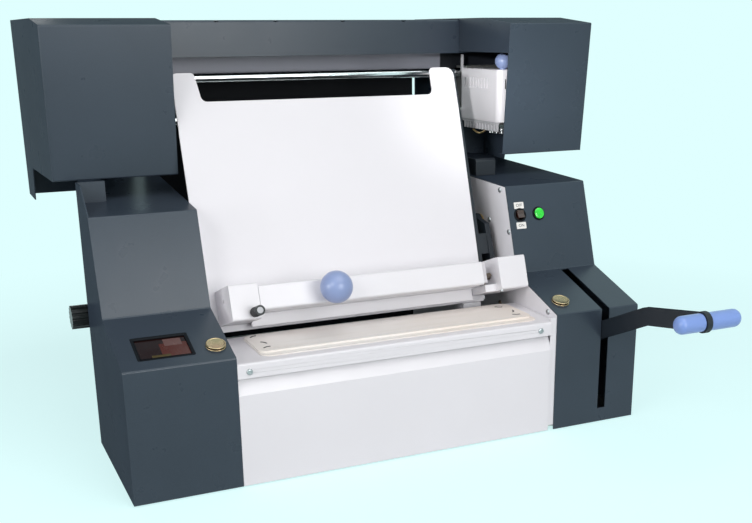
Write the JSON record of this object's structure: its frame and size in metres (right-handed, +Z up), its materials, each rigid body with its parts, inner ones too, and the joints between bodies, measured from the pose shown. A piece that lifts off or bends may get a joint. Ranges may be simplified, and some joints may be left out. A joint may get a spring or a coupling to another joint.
{
  "type": "perfect binding machine",
  "caption": "Desk perfect binding machine with a tilting book clamp, side lever, table, travelling roughening head and glue unit under top hoods.",
  "frame": {"origin": "on the floor under the middle of the whole outline, at the height of the feet", "axes": "+X to the operator's right along the table, +Y from the front to the back, +Z up"},
  "size_m": [0.794, 0.7565, 0.558],
  "materials": {
    "slate_paint": "fine textured slate powder coat",
    "white_paint": "smooth white powder coat",
    "frame_paint": "dark grey satin paint",
    "grey_plastic": "light grey satin plastic",
    "cream_pad": "smooth cream plastic strip",
    "zinc_steel": "zinc plated steel",
    "bright_steel": "polished steel",
    "button_metal": "warm nickel plated metal",
    "aluminium": "satin aluminium",
    "bronze": "turned bronze",
    "blue_plastic": "satin blue plastic",
    "black_plastic": "matt black plastic",
    "rubber_feet": "black rubber",
    "window": "dark tinted window",
    "circuit": "green circuit board",
    "green_lens": "lit green lens",
    "rocker_plastic": "dark brown gloss plastic"
  },
  "bodies": {
    "machine": {"base_plate": "zinc_steel", "feet": "rubber_feet", "left_side_plate": "white_paint", "right_side_plate": "white_paint", "left_housing": "slate_paint", "right_housing": "slate_paint", "left_rear_cover": "slate_paint", "right_rear_cover": "slate_paint", "front_panel": "white_paint", "table_top": "white_paint", "cover_pad": "cream_pad", "screws": "zinc_steel", "rear_wall": "slate_paint", "bridge_cover": "slate_paint", "upper_frame": "frame_paint", "left_hood": "slate_paint", "right_hood": "slate_paint", "guide_rods": "bright_steel", "display_window": "window", "display_board": "circuit", "button_barrels": "button_metal", "bushes": "bronze", "power_supply": "zinc_steel", "control_board": "circuit", "power_inlet": "black_plastic", "platen_guides": "frame_paint", "dust_box": "slate_paint"},
    "lever": {"lever_bar": "slate_paint", "grip_rod": "bright_steel", "lever_grips": "blue_plastic", "cross_shaft": "bright_steel", "shaft_cams": "zinc_steel"},
    "platen": {"nip_platen": "zinc_steel"},
    "clamp": {"tray_plate": "white_paint", "clamp_arms": "frame_paint", "clamp_blocks": "white_paint", "pivot_pins": "bright_steel", "rear_jaw": "aluminium", "bar_guides": "bright_steel", "clamp_spring": "bright_steel"},
    "bar": {"clamp_bar": "white_paint", "front_jaw": "white_paint", "ball_knob": "blue_plastic"},
    "index": {"index_knob": "black_plastic"},
    "roughener": {"roughener_cover": "white_paint", "roughener_carriage": "zinc_steel", "comb_guard": "grey_plastic", "roughener_knob": "blue_plastic", "cutter_motor": "frame_paint"},
    "cutter": {"cutter": "bright_steel"},
    "glue": {"glue_tank": "aluminium", "glue_carriage": "zinc_steel"},
    "roller": {"glue_roller": "aluminium"},
    "stop": {"side_stop": "grey_plastic"},
    "adjuster": {"adjuster_knob": "black_plastic", "adjuster_shaft": "bright_steel"},
    "left_push": {"left_button": "button_metal"},
    "right_push": {"right_button": "button_metal"},
    "start_push": {"start_button": "green_lens"},
    "rocker": {"power_rocker": "rocker_plastic"}
  },
  "joints": [
    {"name": "lever_swing", "type": "hinge", "parent": "machine", "child": "lever", "pos_m": [0.294, 0.00825, 0.063], "axis": [1, 0, 0], "range_deg": [-36, 25]},
    {"name": "platen_lift", "type": "slide", "parent": "machine", "child": "platen", "axis": [0, 0, 1], "range_m": [-0.0087, 0.0061]},
    {"name": "clamp_flip", "type": "hinge", "parent": "machine", "child": "clamp", "pos_m": [0, 0.06025, 0.262], "axis": [-1, 0, 0], "range_deg": [0, 160.7]},
    {"name": "bar_slide", "type": "slide", "parent": "clamp", "child": "bar", "axis": [0, -0.9439, 0.3303], "range_m": [-0.0144, 0.026]},
    {"name": "index_turn", "type": "hinge", "parent": "clamp", "child": "index", "pos_m": [-0.188, -0.09842, 0.20611], "axis": [0, -0.9439, 0.3303], "range_deg": [-135, 135]},
    {"name": "roughener_slide", "type": "slide", "parent": "machine", "child": "roughener", "axis": [-1, 0, 0], "range_m": [0, 0.47]},
    {"name": "cutter_spin", "type": "hinge", "parent": "roughener", "child": "cutter", "pos_m": [0.3188, 0.14225, 0.389], "axis": [0, 0, 1], "continuous": true},
    {"name": "glue_slide", "type": "slide", "parent": "machine", "child": "glue", "axis": [-1, 0, 0], "range_m": [-0.43, 0]},
    {"name": "roller_spin", "type": "hinge", "parent": "glue", "child": "roller", "pos_m": [-0.32, 0.16775, 0.4105], "axis": [0, 1, 0], "continuous": true},
    {"name": "stop_slide", "type": "slide", "parent": "machine", "child": "stop", "axis": [1, 0, 0], "range_m": [-0.016, 0.02]},
    {"name": "adjuster_turn", "type": "hinge", "parent": "machine", "child": "adjuster", "pos_m": [-0.37, 0.08825, 0.177], "axis": [1, 0, 0], "range_deg": [-135, 135]},
    {"name": "left_press", "type": "slide", "parent": "machine", "child": "left_push", "axis": [0, 0.3134, -0.9496], "range_m": [0, 0.0015], "stiffness_N_per_m": 800, "springref_m": -0.001},
    {"name": "right_press", "type": "slide", "parent": "machine", "child": "right_push", "axis": [0, 0.3134, -0.9496], "range_m": [0, 0.0015], "stiffness_N_per_m": 800, "springref_m": -0.001},
    {"name": "start_press", "type": "slide", "parent": "machine", "child": "start_push", "axis": [0, 0.951, -0.3091], "range_m": [0, 0.0015], "stiffness_N_per_m": 800, "springref_m": -0.001},
    {"name": "rocker_tilt", "type": "hinge", "parent": "machine", "child": "rocker", "pos_m": [0.234, -0.02217, 0.28306], "axis": [1, 0, 0], "range_deg": [0, 16]}
  ],
  "couplings": [
    {"joint": "platen_lift", "follows": "lever_swing", "m_per_rad": 0.01375}
  ]
}
